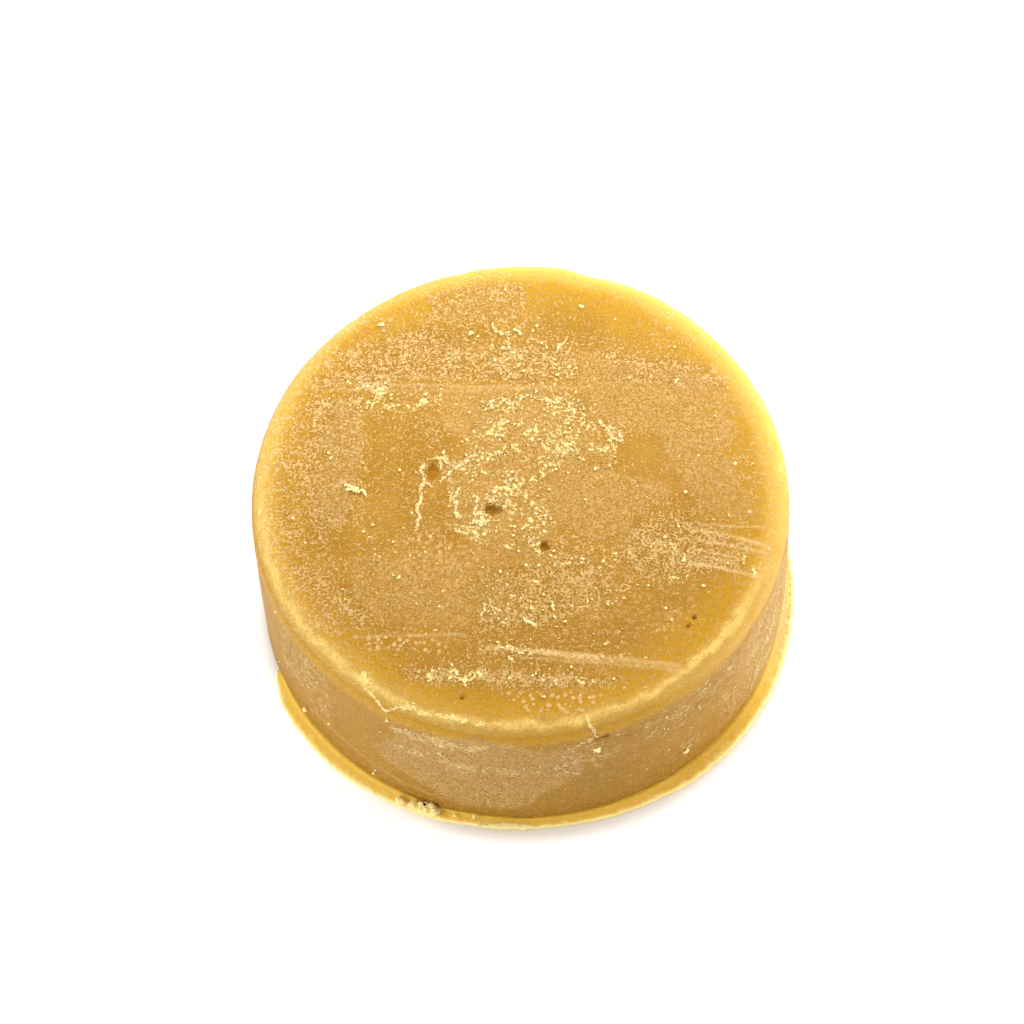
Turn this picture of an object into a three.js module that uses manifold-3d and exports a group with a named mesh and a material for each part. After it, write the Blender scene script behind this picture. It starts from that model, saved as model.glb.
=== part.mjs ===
// Cast shaving soap puck with its base lip and loose crumbs. Millimetres, +Z up.
// The origin is the centre of the flat base. -Y is the front, +X the right-hand side.
import * as THREE from "three";
import { mergeVertices } from "three/addons/utils/BufferGeometryUtils.js";
import Module from "manifold-3d";

// Cast body
const HEIGHT = 27.0;
const TOP_RADIUS = 35.0;
const BASE_RADIUS = 35.3;
const RIM_RADIUS = 3.5;
const RIM_STEPS = 8;
const WALL_STEPS = 4;
const ROUND_SEGMENTS = 120;

// Base lip: the soap that crept over the mould's edge
const LIP_START_DEG = 199;
const LIP_END_DEG = 480;
const LIP_RADIUS = 36.9;
const LIP_WAVE = 0.45;
const LIP_WAVE_PEAK_DEG = 219;
const LIP_WAVE_RATE = 3.64;
const LIP_EDGE_HEIGHT = 0.6;
const LIP_HEIGHT = 1.1;
const LIP_TAPER_DEG = 4;
const SECTOR_REACH = 80;
const SECTOR_STEPS = 8;

// Thin pale flake peeled up along the lip's front edge
const PEEL_START_DEG = 258;
const PEEL_END_DEG = 270.5;
const PEEL_STEPS = 10;
const PEEL_WIDTH = 0.85;
const PEEL_THICKNESS = 0.28;
const PEEL_OVERHANG = 0.2;

// Clearance between neighbouring pieces
const GAP = 0.04;
const ROUGHNESS_OF_PEBBLE = 0.16;

// Hollows in the top face: centre x, y, half sizes along x, y, z, and turn about +Z in degrees
const TOP_PITS = [
  { at: [-3.4, -3.0], half: [1.15, 0.85, 1.3], turn: -15 },
  { at: [-11.1, 2.9], half: [0.75, 1.2, 0.7], turn: -20 },
  { at: [2.9, -8.6], half: [0.7, 0.6, 0.8], turn: 0 },
  { at: [3.5, 1.0], half: [0.7, 0.6, 0.35], turn: 30 },
  { at: [21.4, -19.8], half: [0.35, 0.3, 0.45], turn: 0 },
  { at: [20.6, -21.0], half: [0.3, 0.3, 0.35], turn: 0 },
  { at: [-8.5, -29.4], half: [0.3, 0.25, 0.35], turn: 0 },
];

// Hollows in the side and rim: angle, radius and height of the centre, half sizes along the
// tangent, the radius and the height
const SIDE_PITS = [
  { angle: 285, radius: 35.0, z: 22.2, half: [1.1, 0.8, 0.75] },
  { angle: 98, radius: 34.1, z: 26.2, half: [0.75, 0.8, 0.8] },
  { angle: 243, radius: 33.3, z: 26.9, half: [1.0, 0.5, 0.45] },
  { angle: 71, radius: 34.9, z: 26.2, half: [3.4, 0.7, 1.8] },
];

// Loose pieces on the top face: centre x, y, half sizes and turn
const TOP_PIECES = [
  { name: "top_flake", at: [-21.2, 0.9], half: [1.65, 0.42, 0.22], turn: -22 },
  { name: "top_crumb_back", at: [9.4, 26.8], half: [0.45, 0.32, 0.28], turn: -20 },
  { name: "top_crumb_centre_back", at: [1.1, 23.2], half: [0.28, 0.45, 0.25], turn: 10 },
  { name: "top_crumb_left_back", at: [-5.4, 23.5], half: [0.42, 0.38, 0.26], turn: 35 },
  { name: "top_crumb_far_left", at: [-17.2, 25.5], half: [0.5, 0.36, 0.26], turn: 15 },
  { name: "top_crumb_right_back", at: [21.3, 14.8], half: [0.6, 0.3, 0.24], turn: -25 },
  { name: "top_crumb_right", at: [21.4, -1.9], half: [0.32, 0.28, 0.24], turn: 0 },
];

// Loose pieces on the side wall: angle, height and half sizes (tangent, radius, height)
const WALL_PIECES = [
  { name: "wall_flake", angle: 283.6, z: 19.6, half: [0.45, 0.22, 0.6] },
  { name: "wall_bead_left", angle: 213.5, z: 4.8, half: [0.4, 0.35, 0.38] },
  { name: "wall_bead_front", angle: 233.8, z: 3.2, half: [0.22, 0.2, 0.22] },
  { name: "wall_grain_right", angle: 304.5, z: 6.6, half: [0.5, 0.22, 0.32] },
];

// Loose pieces lying on the lip: angle, radius and half sizes (tangent, radius, height)
const LIP_PIECES = [
  { name: "lip_crumb_large", angle: 247.4, radius: 36.25, half: [1.5, 0.72, 0.62] },
  { name: "lip_crumb_middle", angle: 244.0, radius: 36.35, half: [0.6, 0.55, 0.42] },
  { name: "lip_crumb_left", angle: 241.3, radius: 36.5, half: [0.62, 0.5, 0.42] },
  { name: "lip_crumb_small", angle: 252.9, radius: 36.0, half: [0.28, 0.26, 0.22] },
  { name: "lip_sliver", angle: 257.0, radius: 35.9, half: [0.14, 0.16, 0.75] },
];

// Materials
const castSoap = { color: "#d19a3a", roughness: 0.62, metalness: 0.0 };
const lipSoap = { color: "#e2b045", roughness: 0.55, metalness: 0.0 };
const drySoap = { color: "#f2dfa6", roughness: 0.85, metalness: 0.0 };

const wasm = await Module();
wasm.setup();

const radians = (degrees) => (degrees * Math.PI) / 180;

// Repeatable random numbers from 0 to 1
function randomSource(seed) {
  let state = seed;
  return () => {
    state = (state * 1664525 + 1013904223) % 4294967296;
    return state / 4294967296;
  };
}

function weld(geometry) {
  geometry.deleteAttribute("normal");
  geometry.deleteAttribute("uv");
  return mergeVertices(geometry, 1e-4);
}

function toManifold(geometry) {
  const mesh = new wasm.Mesh({
    numProp: 3,
    vertProperties: new Float32Array(geometry.attributes.position.array),
    triVerts: new Uint32Array(geometry.index.array),
  });
  return new wasm.Manifold(mesh);
}

function fromManifold(solid) {
  const mesh = solid.getMesh();
  const geometry = new THREE.BufferGeometry();
  geometry.setAttribute("position", new THREE.BufferAttribute(new Float32Array(mesh.vertProperties), 3));
  geometry.setIndex(new THREE.BufferAttribute(new Uint32Array(mesh.triVerts), 1));
  return geometry;
}

// Wall radius at height z: the mould's slight draft
const wallRadius = (z) => BASE_RADIUS + (TOP_RADIUS - BASE_RADIUS) * (z / HEIGHT);

// A closed, uneven pebble around the origin
function pebble(seed, half) {
  const geometry = weld(new THREE.IcosahedronGeometry(1, 2));
  const random = randomSource(seed);
  const position = geometry.attributes.position;
  for (let i = 0; i < position.count; i += 1) {
    const swell = 1 - ROUGHNESS_OF_PEBBLE * random();
    position.setXYZ(
      i,
      position.getX(i) * half[0] * swell,
      position.getY(i) * half[1] * swell,
      position.getZ(i) * half[2] * swell,
    );
  }
  return geometry;
}

// Put a pebble so that its x follows the tangent and its y the radius at this angle
function placeAround(geometry, angle, radius, z) {
  geometry.rotateZ(radians(angle - 90));
  geometry.translate(radius * Math.cos(radians(angle)), radius * Math.sin(radians(angle)), z);
  return geometry;
}

// Turned body with a rounded top rim, less its hollows
function soapBody() {
  const profile = [new THREE.Vector2(0, 0)];
  for (let i = 0; i <= WALL_STEPS; i += 1) {
    const z = ((HEIGHT - RIM_RADIUS) * i) / WALL_STEPS;
    profile.push(new THREE.Vector2(wallRadius(z), z));
  }
  const rimOuter = wallRadius(HEIGHT - RIM_RADIUS);
  for (let i = 1; i <= RIM_STEPS; i += 1) {
    const turn = ((Math.PI / 2) * i) / RIM_STEPS;
    const radius = rimOuter - RIM_RADIUS * (1 - Math.cos(turn));
    profile.push(new THREE.Vector2(radius, HEIGHT - RIM_RADIUS * (1 - Math.sin(turn))));
  }
  profile.push(new THREE.Vector2(0, HEIGHT));
  const turned = new THREE.LatheGeometry(profile, ROUND_SEGMENTS);
  turned.rotateX(Math.PI / 2);
  let solid = toManifold(weld(turned));
  TOP_PITS.forEach((pit, index) => {
    const cutter = pebble(101 + index, pit.half);
    cutter.rotateZ(radians(pit.turn));
    cutter.translate(pit.at[0], pit.at[1], HEIGHT);
    solid = solid.subtract(toManifold(cutter));
  });
  SIDE_PITS.forEach((pit, index) => {
    const cutter = placeAround(pebble(151 + index, pit.half), pit.angle, pit.radius, pit.z);
    solid = solid.subtract(toManifold(cutter));
  });
  return fromManifold(solid);
}

// Outer radius of the lip, drawn in towards the wall at both ends
function lipRadius(angle) {
  const wave = LIP_WAVE * Math.cos(radians((angle - LIP_WAVE_PEAK_DEG) * LIP_WAVE_RATE));
  const fromEnd = Math.max(0, Math.min(angle - LIP_START_DEG, LIP_END_DEG - angle));
  const taper = Math.min(1, 0.35 + fromEnd / LIP_TAPER_DEG);
  return BASE_RADIUS + (LIP_RADIUS + wave - BASE_RADIUS) * taper;
}

// Prism over the sector between two angles, taller than the lip
function sector(startDeg, endDeg) {
  const outline = new THREE.Shape();
  outline.moveTo(0, 0);
  for (let angle = startDeg; angle <= endDeg; angle += (endDeg - startDeg) / SECTOR_STEPS) {
    outline.lineTo(SECTOR_REACH * Math.cos(radians(angle)), SECTOR_REACH * Math.sin(radians(angle)));
  }
  const prism = new THREE.ExtrudeGeometry(outline, { depth: 3 * LIP_HEIGHT, bevelEnabled: false });
  prism.translate(0, 0, -LIP_HEIGHT);
  return prism;
}

// Turned ring, pulled in and out to the lip's wavy outline, then opened where the lip is missing
function baseLip() {
  const inner = BASE_RADIUS + GAP;
  const profile = [
    new THREE.Vector2(inner, 0),
    new THREE.Vector2(LIP_RADIUS - 0.1, 0),
    new THREE.Vector2(LIP_RADIUS, LIP_EDGE_HEIGHT * 0.5),
    new THREE.Vector2(LIP_RADIUS - 0.15, LIP_EDGE_HEIGHT),
    new THREE.Vector2(inner + 0.3, LIP_HEIGHT - 0.15),
    new THREE.Vector2(inner, LIP_HEIGHT),
    new THREE.Vector2(inner, 0),
  ];
  const ring = new THREE.LatheGeometry(profile, ROUND_SEGMENTS);
  ring.rotateX(Math.PI / 2);
  const welded = weld(ring);
  const position = welded.attributes.position;
  for (let i = 0; i < position.count; i += 1) {
    const x = position.getX(i);
    const y = position.getY(i);
    const radius = Math.hypot(x, y);
    const degrees = (Math.atan2(y, x) * 180) / Math.PI;
    const angle = LIP_START_DEG + ((degrees - LIP_START_DEG + 720) % 360);
    const share = (radius - inner) / (LIP_RADIUS - inner);
    const scale = (inner + share * (lipRadius(angle) - inner)) / radius;
    position.setXY(i, x * scale, y * scale);
  }
  const opening = toManifold(weld(sector(LIP_END_DEG - 360, LIP_START_DEG)));
  return fromManifold(toManifold(welded).subtract(opening));
}

// Thin flake: a crescent along the lip's edge, extruded upwards
function lipPeel() {
  const outerEdge = [];
  const innerEdge = [];
  for (let i = 0; i <= PEEL_STEPS; i += 1) {
    const along = i / PEEL_STEPS;
    const angle = PEEL_START_DEG + (PEEL_END_DEG - PEEL_START_DEG) * along;
    const width = PEEL_WIDTH * (0.35 + 0.65 * Math.sin(Math.PI * along));
    const outer = lipRadius(angle) + PEEL_OVERHANG;
    const direction = new THREE.Vector2(Math.cos(radians(angle)), Math.sin(radians(angle)));
    outerEdge.push(direction.clone().multiplyScalar(outer));
    innerEdge.unshift(direction.clone().multiplyScalar(outer - width));
  }
  const outline = new THREE.Shape([...outerEdge, ...innerEdge]);
  const flake = new THREE.ExtrudeGeometry(outline, { depth: PEEL_THICKNESS, bevelEnabled: false });
  flake.translate(0, 0, LIP_HEIGHT + GAP);
  return weld(flake);
}

const group = new THREE.Group();
group.name = "shaving_soap_puck";

function add(name, geometry, look) {
  const mesh = new THREE.Mesh(geometry, new THREE.MeshStandardMaterial(look));
  mesh.name = name;
  group.add(mesh);
}

add("soap_body", soapBody(), castSoap);
add("base_lip", baseLip(), lipSoap);
add("lip_peel", lipPeel(), drySoap);

LIP_PIECES.forEach((piece, index) => {
  const height = LIP_HEIGHT + GAP + piece.half[2];
  add(piece.name, placeAround(pebble(201 + index, piece.half), piece.angle, piece.radius, height), drySoap);
});

WALL_PIECES.forEach((piece, index) => {
  const radius = wallRadius(piece.z) + GAP + piece.half[1];
  add(piece.name, placeAround(pebble(251 + index, piece.half), piece.angle, radius, piece.z), drySoap);
});

TOP_PIECES.forEach((piece, index) => {
  const geometry = pebble(301 + index, piece.half);
  geometry.rotateZ(radians(piece.turn));
  geometry.translate(piece.at[0], piece.at[1], HEIGHT + GAP + piece.half[2]);
  add(piece.name, geometry, drySoap);
});

export default group;
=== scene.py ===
"""Cast shaving soap puck: its fine surface, crumbs, materials, plain floor, light and camera.

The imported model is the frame. -Y is the front, +X the right, and sizes are millimetres
until a mesh is made, which is in metres. Angles go round +Z from +X, in degrees, so the
front is at 270 and angles past 360 carry on round the right side. A path is the distance
from the middle of the top over the rim and down the wall.
"""

import math
from types import SimpleNamespace

import bpy
import numpy as np
from mathutils import Matrix, Vector

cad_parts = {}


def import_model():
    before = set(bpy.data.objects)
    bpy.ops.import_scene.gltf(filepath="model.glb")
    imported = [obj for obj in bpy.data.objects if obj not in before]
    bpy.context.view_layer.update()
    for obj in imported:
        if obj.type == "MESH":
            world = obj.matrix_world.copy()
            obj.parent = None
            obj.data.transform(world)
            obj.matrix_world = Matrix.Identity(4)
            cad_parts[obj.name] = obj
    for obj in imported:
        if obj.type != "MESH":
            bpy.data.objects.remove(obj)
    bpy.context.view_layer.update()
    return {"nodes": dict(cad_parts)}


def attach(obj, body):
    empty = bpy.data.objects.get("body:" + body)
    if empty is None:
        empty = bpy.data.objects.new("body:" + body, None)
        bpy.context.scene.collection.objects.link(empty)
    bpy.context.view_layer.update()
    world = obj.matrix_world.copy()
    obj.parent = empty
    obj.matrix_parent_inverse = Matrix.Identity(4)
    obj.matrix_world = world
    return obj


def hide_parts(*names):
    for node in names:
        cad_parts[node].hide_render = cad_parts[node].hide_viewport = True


MM = 0.001

# ---------------------------------------------------------------- the cast body
HEIGHT = 27.0
TOP_RADIUS = 35.0
BASE_RADIUS = 35.3
RIM_RADIUS = 3.5
RIM_SQUARENESS = 2.3
FLAT_RADIUS = TOP_RADIUS - RIM_RADIUS
SKIN_RINGS = 125
RIM_ROWS = 18
WALL_ROWS = 48
BASE_RINGS = (35.1, 34.6, 30.0)
# Millimetres in one degree round the wall
WALL_ARC = BASE_RADIUS * math.pi / 180.0

# ---------------------------------------------------------------- the base lip
LIP_START = 199.0
LIP_END = 480.0
LIP_RADIUS = 36.9
LIP_WAVE = 0.45
LIP_WAVE_PEAK = 219.0
LIP_WAVE_RATE = 3.64
LIP_TAPER = 11.0
LIP_INNER = 35.0
LIP_STEPS = 1100
# Share of the lip's width, counted outwards, and height in mm
LIP_SECTION = (
    (0.00, 0.00), (0.55, 0.00), (0.90, 0.02), (0.97, 0.12), (1.00, 0.28), (0.99, 0.44), (0.94, 0.58),
    (0.86, 0.68), (0.74, 0.75), (0.60, 0.81), (0.46, 0.86), (0.34, 0.93), (0.25, 1.04), (0.19, 1.22),
    (0.14, 1.50), (0.08, 1.85), (0.00, 2.10),
)
# On the right the lip creeps up the wall: how far, and the angles over which it starts and stops
LIP_FLARE = 3.0
FLARE_STARTS = (326.0, 346.0)
FLARE_STOPS = (358.0, 378.0)
PEEL_START = 258.0
PEEL_END = 270.5

# ---------------------------------------------------------------- marks on the top face
# Outlines are corners in mm on the top face; the last number is how strong the patch is.
FILM_PATCHES = (
    (((9, 20), (13, 18.5), (17, 17), (22, 16.5), (28, 15), (30, 11), (29, 7), (26, 4.5), (28, 1), (30, -3),
      (31, -6), (26, -6), (23, -3.5), (21, 0), (20, 2.5), (19, 4), (19, 6.5), (16, 7.5), (13, 8.8),
      (11, 9.5), (9.5, 12), (8.5, 15)), 1.0),
    (((6, 2), (10, 2.5), (14, 1), (19, 0.5), (19.5, -2), (17, -3.5), (14.5, -5), (13, -8), (9, -8), (5, -5),
      (3, -1)), 1.0),
    (((-10, 15), (-5, 15.5), (-4, 10), (-5, 5), (-6.5, 4), (-6, 8.5), (-9, 9)), 0.85),
    (((-23, 14), (-20, 13), (-20, 8), (-21, 4), (-22, 0), (-22.5, -4), (-25, -5), (-27, -1), (-26, 4),
      (-25, 10)), 1.0),
    (((-22, -9), (-12, -8.5), (-5, -9), (-1, -13), (-3, -19), (-10, -19.5), (-18, -18.5), (-22, -15)), 0.7),
    (((-6, 31), (-2, 32), (1.5, 30.5), (2, 28), (0.5, 25.5), (-3, 25), (-8, 26), (-11, 28), (-9, 31)), 0.55),
    (((-7, 4), (-3, 15), (3, 15), (8, 11), (12, 4), (6, 1), (5, -6), (3, -12), (-4, -11), (-9, -5),
      (-9, 0)), 0.72),
)
WORM_PATCHES = (
    (((14, -6), (20, -5), (30, -9), (30, -14), (22, -13.5), (15, -14), (12, -11)), 1.0),
    (((-27, 21), (-10, 26), (-5, 22), (8, 21), (9, 16), (0, 15), (-10, 17), (-22, 16), (-29, 15)), 0.8),
    (((-33, 9), (-29, 10), (-27, 2), (-28, -6), (-32, -10), (-34, 0)), 0.7),
    (((12, 20), (21, 18.5), (29, 16), (28, 12), (20, 14), (12, 15)), 0.9),
    (((-31, -8), (-22, -12), (-19, -19), (-25, -20), (-30, -17)), 0.75),
    (((-6, -12), (6, -10), (14, -14), (12, -17), (2, -20), (-8, -20)), 0.85),
    (((-17, -24.8), (-3, -26), (8, -27.0), (16, -28), (12, -29), (-2, -28.6), (-6, -28), (-17, -27)), 1.15),
    (((-27, 15), (-20, 15), (-20, 8), (-22, -4), (-27, -6), (-28, 5)), 0.9),
    (((-12, 31), (-2, 32.5), (2, 31), (2.5, 27), (0, 25), (-11, 26)), 0.85),
    (((-10, 4), (-4, 16), (9, 15), (14, 8), (12, 0), (8, -12), (-4, -11), (-10, -4)), 0.55),
    (((-22, -9), (-5, -9), (-3, -19), (-18, -18.5), (-22, -15)), 0.6),
)
CLUMP_PATCHES = (
    (((-9, 4), (-4, 13), (0, 15), (9, 14), (14, 9), (14, 4), (8, 5), (3, 1), (4, -6), (3, -10), (-4, -9),
      (-9, -6), (-9.5, 0)), 0.75),
    (((-8, 24), (0, 25), (9, 21), (9, 15), (2, 15), (-4, 17), (-10, 20)), 0.50),
    (((-21, 17), (-10, 16), (-9.5, 13), (-14, 12.3), (-20, 13)), 0.95),
    (((-14, -25), (-3, -26), (8, -27.3), (11, -28.5), (5, -28.5), (-6, -27.6), (-14, -26.6)), 0.7),
    (((-20, -5), (-14, -5), (-9, -9), (-14, -10), (-19, -10)), 0.5),
    (((4, -9), (14, -10), (13, -14), (4, -14)), 0.55),
    (((-6, -12), (4, -13), (4, -19), (-5, -20)), 0.5),
    (((14, -7), (30, -11), (30, -14), (15, -12)), 0.4),
    (((7, -15), (22, -13), (22, -22), (10, -23)), 0.42),
    (((-8, -1), (-3, -4.5), (1, -3), (3, -7), (0, -10), (-5, -8)), 0.9),
    (((-7.6, -21.4), (-3, -22), (1.5, -22.8), (1.5, -24.2), (-3, -23.8), (-7.6, -22.8)), 0.8),
    (((-16.2, -25.6), (-3.6, -26.6), (6, -27.0), (9, -28.0), (4, -28.2), (-3.6, -28.0), (-16.2, -26.8)), 0.9),
)
BARE_PATCHES = (
    (((-19, 9), (-12, 9.5), (-11, 5), (-13.8, 0), (-14, -5), (-18, -7), (-20, -2), (-19, 3)), 0.75),
    (((14, 7.2), (18.8, 5.7), (19, 2.2), (20.6, 0), (19, -0.5), (14.8, 1), (13, 3)), 1.0),
    (((-12.4, -0.5), (-9.6, 0.6), (-9, -2), (-10, -4.4), (-12.8, -4)), 1.0),
    (((-9.6, 8), (-6.5, 7.6), (-6.1, 5.6), (-8.2, 4.2), (-10, 5.5)), 1.0),
    (((2.4, 32), (12, 31), (20, 26), (17, 21), (10, 22), (6, 25), (2.5, 26)), 1.0),
    (((13, -15), (27, -15), (24, -22), (14, -25), (8, -22)), 0.9),
    (((-25, -5), (-20, -5), (-20, -8.3), (-24, -9)), 0.85),
    (((20, -1.0), (22.4, -2), (21.4, -3.2), (23.2, -4.6), (20.2, -4)), 1.0),
    (((-24, -20.5), (-15, -20), (-8, -21), (-8, -24.3), (-18, -25), (-24, -23)), 0.7),
    (((-14, -28), (-4, -28.6), (4, -30.6), (-4, -32), (-14, -31)), 0.9),
    (((-10, 25), (-4, 24.6), (-3, 22), (-1, 19), (-10, 22)), 0.4),
)
# Clean amber gaps between the scratches on the right
AMBER_GAPS = (
    (((25.5, -7.6), (27.4, -8.1), (31.2, -7.9), (31.9, -9.4), (28.6, -9.2), (26.1, -8.5)), 1.0),
    (((26.2, -10.7), (30.3, -11.6), (30.8, -12.2), (29.6, -13.0), (27.7, -12.2)), 1.0),
    (((23.5, -9.6), (28.0, -10.6), (28.0, -10.9), (23.5, -10.0)), 0.8),
)
# Raised cream lines: corner points in mm, then half width in mm
CRUST_LINES = (
    (((-9.8, 5.4), (-9.4, 4.3), (-8.5, 3.7), (-7.4, 3.5), (-6.4, 4.2), (-5.2, 5.2)), 0.26),
    (((-9.7, 1.8), (-8.9, 2.6), (-8.1, 3.4)), 0.24),
    (((-10.2, 4.7), (-11.0, 5.1), (-12.0, 4.5), (-12.4, 3.4), (-12.5, 2.2), (-12.1, 1.4),
      (-11.4, 1.1)), 0.24),
    (((-10.2, 4.7), (-9.9, 3.6), (-10.2, 2.4)), 0.16),
    (((-12.4, 1.1), (-12.9, 0.1), (-13.0, -1.2), (-13.3, -2.6), (-13.5, -4.0), (-13.4, -5.0)), 0.23),
    (((-13.6, 3.3), (-13.0, 2.3), (-12.4, 1.8)), 0.16),
    (((-2.4, 24.7), (-1.4, 23.4), (-0.6, 22.3), (-0.5, 21.0), (0.4, 20.2), (1.3, 19.4)), 0.24),
    (((6.1, 20.2), (6.3, 21.2), (7.1, 21.8), (7.6, 22.6)), 0.15),
    (((-3.0, 17.2), (-2.0, 17.7), (-1.2, 17.0)), 0.16),
    (((-1.8, 15.9), (-0.3, 17.4)), 0.15),
    (((0.4, 13.0), (1.8, 13.6), (3.2, 13.1), (4.4, 13.2), (5.4, 12.6), (6.6, 12.8), (7.6, 12.2)), 0.24),
    (((7.6, 12.2), (8.1, 11.3), (7.6, 10.4), (6.5, 9.5)), 0.24),
    (((5.0, 5.8), (6.2, 5.2), (6.9, 5.6)), 0.30),
    (((11.0, 9.2), (12.0, 8.2), (12.4, 7.0), (13.6, 6.4)), 0.30),
    (((12.0, 8.2), (13.0, 8.4)), 0.26),
    (((-8.2, -0.6), (-8.0, -1.8), (-8.2, -3.2), (-7.4, -3.8)), 0.30),
    (((-6.0, -0.8), (-5.7, -2.2), (-6.2, -3.6)), 0.28),
    (((-4.6, -1.5), (-3.8, -1.6), (-3.0, -1.9)), 0.22),
    (((-5.0, -15.8), (-4.4, -17.2), (-3.6, -18.6)), 0.20),
    (((-5.6, -16.6), (-5.9, -18.0)), 0.20),
    (((-3.6, -22.9), (-2.0, -23.3), (0.0, -23.6)), 0.22),
    (((-2.6, -24.1), (-1.8, -24.5)), 0.26),
    (((3.0, -16.3), (3.7, -17.8)), 0.26),
    (((0.2, -19.0), (1.4, -19.6)), 0.26),
    (((10.2, 2.0), (11.4, 2.4)), 0.22),
    (((7.6, 4.1), (8.4, 3.4)), 0.20),
)
# Smooth pale streaks left by rubbing: start, end, half width, strength
STREAKS = (
    ((-5.0, -22.7), (1.6, -23.6), 0.34, 0.75),
    ((1.2, -23.5), (8.8, -24.8), 0.42, 1.0),
    ((8.6, -24.7), (19.0, -26.4), 0.34, 0.6),
    ((5.0, -24.8), (21.0, -27.4), 0.26, 0.45),
    ((-1.0, -24.2), (12.0, -26.0), 0.20, 0.4),
    ((-24.5, 17.0), (0.0, 15.0), 0.26, 0.55),
    ((0.0, 15.0), (9.0, 14.4), 0.30, 0.4),
    ((-24.0, 16.0), (-3.0, 14.6), 0.20, 0.4),
    ((-20.0, 18.0), (-6.0, 16.6), 0.16, 0.35),
    ((23.0, -6.6), (31.3, -7.6), 0.16, 0.7),
    ((22.4, -7.4), (28.0, -8.9), 0.16, 0.8),
    ((28.0, -8.9), (31.7, -10.4), 0.30, 0.9),
    ((22.8, -8.9), (31.4, -11.2), 0.22, 0.8),
    ((21.5, -9.9), (28.2, -12.1), 0.18, 0.8),
    ((21.3, -12.0), (30.1, -14.6), 0.26, 0.9),
    ((22.0, -10.9), (27.4, -12.6), 0.16, 0.6),
    ((-22.0, -20.2), (-8.0, -20.6), 0.22, 0.4),
)
# Clusters of round pale dots
DOT_PATCHES = (
    (((-20.3, -19.6), (-10.2, -21.6), (-10.3, -23.5), (-20.4, -21.9)), 1.0),
    (((-3.7, -28.9), (9.5, -29.6), (7.5, -32.6), (-1.3, -31.7)), 1.0),
    (((9.3, -21.8), (12.4, -22.5), (12.2, -25.6), (9.1, -25.2)), 0.9),
    (((-12, -4), (-5, -9), (-9, -16), (-18, -12)), 0.5),
    (((6, -14), (22, -12), (22, -22), (8, -22)), 0.3),
)
# Cream ridges round the chipped rim: corners as (angle, path from the centre over the rim), half width
RIM_LINES = (
    (((233.0, 34.2), (236.2, 34.8), (238.4, 35.8), (239.8, 35.0), (241.2, 34.0), (242.4, 33.7)), 0.36),
    (((231.0, 33.1), (232.4, 33.4)), 0.70),
    (((242.2, 33.8), (243.6, 33.7)), 0.80),
    (((245.0, 33.8), (247.4, 33.7)), 0.48),
    (((247.0, 33.8), (249.6, 33.6), (252.5, 33.4)), 0.36),
    (((252.8, 33.3), (254.0, 33.5), (256.0, 33.5)), 0.44),
    (((258.4, 33.6), (260.2, 33.5)), 0.30),
    (((96.8, 33.6), (98.6, 34.3)), 0.26),
    (((341.2, 33.4), (342.0, 33.3)), 0.34),
    (((337.2, 30.5), (337.9, 30.7)), 0.34),
    (((334.2, 33.0), (335.6, 32.2)), 0.30),
    (((182.0, 33.6), (182.8, 33.8)), 0.40),
    (((213.0, 33.9), (214.6, 33.7)), 0.24),
    (((218.6, 33.4), (219.8, 33.2)), 0.26),
)
# Hollows in the top: centre, half sizes, depth, turn in degrees
TOP_PITS = (
    ((-3.4, -3.0), (1.25, 0.92), 0.85, -15),
    ((-11.1, 2.9), (0.85, 1.35), 0.60, -20),
    ((2.9, -8.6), (0.78, 0.66), 0.80, 0),
    ((3.5, 1.0), (0.60, 0.45), 0.16, 30),
    ((21.4, -19.8), (0.45, 0.36), 0.55, 0),
    ((20.6, -21.0), (0.40, 0.34), 0.45, 0),
    ((-8.5, -29.4), (0.40, 0.34), 0.40, 0),
    ((16.0, -4.3), (0.40, 0.30), 0.12, 20),
)

# ---------------------------------------------------------------- marks on the wall, as (angle, height)
WALL_FILM = (
    (((234.5, 12), (237, 9.5), (243, 8), (250, 5.5), (258, 4.6), (266, 4.2), (270, 6), (272, 9), (276, 11),
      (280, 13.4), (280, 18), (279, 21), (272, 22), (266, 24), (259, 25.2), (255, 24.5), (251, 22.8),
      (243, 21.5), (239, 17)), 0.95),
    (((322, 3), (328, 2.5), (350, 3), (371, 2.6), (379, 6), (374, 10), (385, 13), (389, 18), (377, 20),
      (372, 23.4), (350, 23), (326, 23), (319, 20), (320, 10)), 0.8),
)
WALL_WORMS = (
    (((234.5, 12), (243, 10), (258, 10), (272, 11), (280, 13.4), (282, 19), (279, 21), (262, 24), (251, 22.8),
      (243, 21.5), (239, 17)), 0.9),
)
WALL_CLUMPS = (
    (((240, 16), (252, 15.5), (252, 23), (243, 22)), 0.35),
    (((275, 14), (284, 13.5), (289, 18), (286, 24), (276, 22.5)), 0.45),
    (((292, 16), (310, 14), (324, 17), (326, 24), (308, 23), (294, 22)), 0.52),
    (((302, 5.5), (309, 5.5), (309, 9), (303, 9)), 0.45),
    (((315, 4), (321, 4), (321, 16), (315, 16)), 0.5),
    (((204, 8), (222, 8), (224, 23), (204, 23)), 0.5),
    (((238, 15.5), (262, 14), (280, 16), (280, 18), (262, 17), (238, 18)), 0.8),
    (((240, 19.5), (252, 20), (266, 22), (266, 23.8), (252, 23.4), (240, 22)), 1.0),
    (((324, 4), (352, 3), (366, 7), (357, 12), (370, 16), (362, 22), (345, 23), (324, 22)), 0.7),
)
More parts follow.
